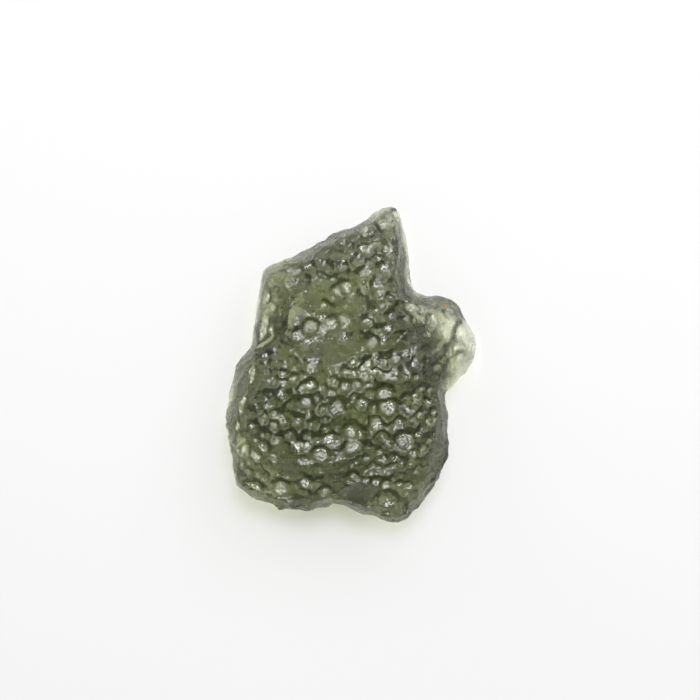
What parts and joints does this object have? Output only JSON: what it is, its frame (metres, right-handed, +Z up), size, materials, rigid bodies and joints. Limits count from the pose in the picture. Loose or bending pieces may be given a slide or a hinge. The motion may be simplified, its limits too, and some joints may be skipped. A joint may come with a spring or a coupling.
{
  "type": "moldavite",
  "caption": "Small rough stone of clear green natural glass, etched with pits and furrows, with a pointed end, a side lobe and a flat spot to rest on.",
  "frame": {"origin": "on the floor, under the middle of the stone's outline seen from above", "axes": "+X to the side with the lobe, +Y to the pointed end, +Z up from the flat spot"},
  "size_m": [0.0202, 0.0253, 0.0088],
  "materials": {
    "moldavite_glass": "clear olive green glass with a frosted, pitted skin"
  },
  "bodies": {
    "root": {"moldavite": "moldavite_glass"}
  },
  "joints": []
}
